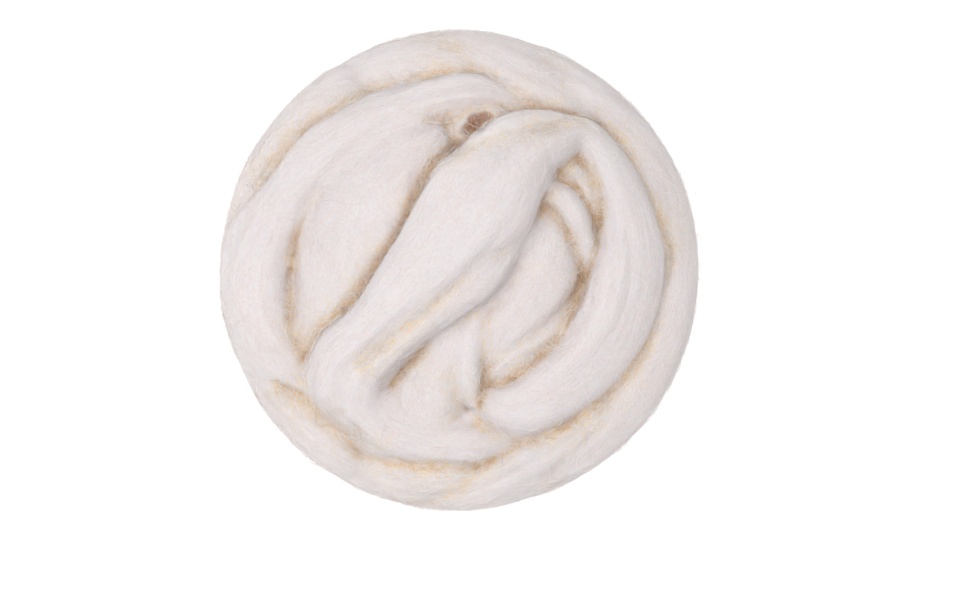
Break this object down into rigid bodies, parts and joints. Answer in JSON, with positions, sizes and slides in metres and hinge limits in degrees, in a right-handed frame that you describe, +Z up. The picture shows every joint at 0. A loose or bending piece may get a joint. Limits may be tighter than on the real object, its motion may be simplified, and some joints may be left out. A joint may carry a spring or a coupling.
{
  "type": "wool roving ball",
  "caption": "Round ball of thick combed wool roving, wound by hand: soft flattened turns cross and fold over each other, with a small flat spot underneath to rest on.",
  "frame": {"origin": "middle of the small flat spot underneath, straight below the middle of the ball", "axes": "+Z up through the face that the picture shows, +Y towards the top edge of that face"},
  "size_m": [0.1597, 0.1603, 0.0943],
  "materials": {
    "wool": "undyed cream combed wool, soft and matt, with fine loose fibres"
  },
  "bodies": {
    "root": {"roving_ball": "wool"}
  },
  "joints": []
}
